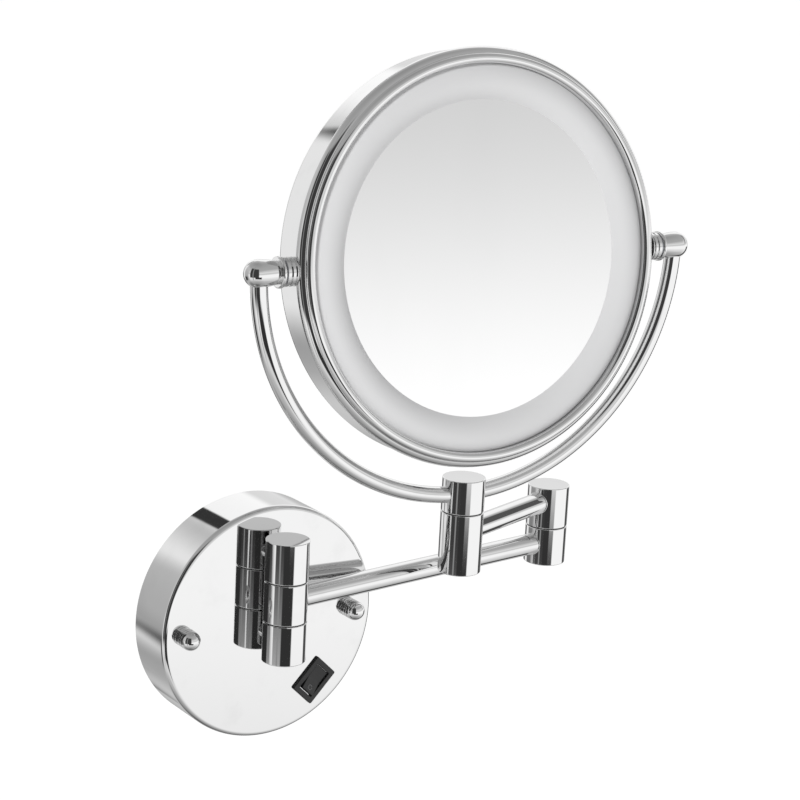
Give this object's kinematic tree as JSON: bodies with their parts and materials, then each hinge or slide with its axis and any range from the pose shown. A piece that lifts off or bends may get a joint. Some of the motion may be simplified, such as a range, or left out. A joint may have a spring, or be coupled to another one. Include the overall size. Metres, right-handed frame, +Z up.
{
  "type": "extendable shaving mirror",
  "caption": "Round lit shaving mirror in a turning yoke, on a folding double arm hinged to a round wall plate with a rocker switch.",
  "frame": {"origin": "centre of the wall screw pattern, on the wall, at the middle of the round wall plate's back", "axes": "+Y into the wall, so the mirror stands out along -Y; +Z up; +X to the viewer's right"},
  "size_m": [0.2865, 0.0728, 0.3442],
  "materials": {
    "chrome_plate": "bright chrome plating",
    "zinc_steel": "zinc plated",
    "die_cast": "as cast",
    "bronze": "sintered",
    "nylon": "natural",
    "black_plastic": "moulded",
    "tinned_brass": "tinned",
    "driver_case": "fine texture",
    "terminal_plastic": "moulded",
    "silvered_glass": "polished",
    "frosted_acrylic": "frosted",
    "white_abs": "moulded",
    "board_white": "solder mask",
    "led_yellow": "cast",
    "foam": "closed cell foam"
  },
  "bodies": {
    "wall": {"wall_bracket": "zinc_steel", "bracket_studs": "zinc_steel", "wall_plate": "chrome_plate", "cap_nuts": "chrome_plate", "backing_plate": "zinc_steel", "knuckle_spacers": "chrome_plate", "knuckle_screws": "zinc_steel", "wall_knuckle_top": "chrome_plate", "wall_knuckle_bottom": "chrome_plate", "wall_hinge_pin": "zinc_steel", "wall_hinge_washers": "nylon", "wall_hinge_plug": "chrome_plate", "switch_body": "black_plastic", "switch_terminals": "tinned_brass", "led_driver": "driver_case", "terminal_block": "terminal_plastic"},
    "rocker": {"switch_rocker": "black_plastic"},
    "arm1": {"arm1_knuckle": "chrome_plate", "arm1_bush": "bronze", "arm1_tube": "chrome_plate", "elbow_lower": "chrome_plate", "elbow_bush": "bronze", "elbow_washer": "nylon", "elbow_plug": "chrome_plate"},
    "arm2": {"elbow_upper": "chrome_plate", "elbow_pin": "zinc_steel", "elbow_keeper": "zinc_steel", "arm2_tube": "chrome_plate", "front_lower": "chrome_plate", "front_bush": "bronze", "front_washer": "nylon", "front_plug": "chrome_plate"},
    "yoke": {"yoke_knuckle": "chrome_plate", "yoke_pin": "zinc_steel", "yoke_keeper": "zinc_steel", "yoke_set_screw": "zinc_steel", "yoke_tube": "chrome_plate", "yoke_barrels": "chrome_plate", "tilt_springs": "zinc_steel", "tilt_screws": "zinc_steel"},
    "head": {"drum_housing": "chrome_plate", "front_bezel": "chrome_plate", "diffuser_ring": "frosted_acrylic", "front_mirror": "silvered_glass", "chassis": "white_abs", "led_board": "board_white", "leds": "led_yellow", "rear_mirror": "silvered_glass", "rear_gasket": "foam", "tilt_blocks": "die_cast", "tilt_bushes": "bronze", "pivot_collars": "chrome_plate"}
  },
  "joints": [
    {"name": "rocker_press", "type": "hinge", "parent": "wall", "child": "rocker", "pos_m": [0.0269, -0.028, -0.0351], "axis": [-0.7193, 0, 0.6947], "range_deg": [-16, 0]},
    {"name": "wall_swing", "type": "hinge", "parent": "wall", "child": "arm1", "pos_m": [0, -0.042, 0.0164], "axis": [0, 0, 1], "range_deg": [-192.5, 1.1]},
    {"name": "elbow_fold", "type": "hinge", "parent": "arm1", "child": "arm2", "pos_m": [0.17414, -0.02462, 0.0259], "axis": [0, 0, 1], "range_deg": [-0.5, 334.5]},
    {"name": "yoke_swivel", "type": "hinge", "parent": "arm2", "child": "yoke", "pos_m": [0.09836, -0.05027, 0.0511], "axis": [0, 0, 1], "range_deg": [-180, 180]},
    {"name": "head_tilt", "type": "hinge", "parent": "yoke", "child": "head", "pos_m": [0.09836, -0.05027, 0.181], "axis": [0.9981, -0.061, 0], "range_deg": [-180, 180]}
  ]
}
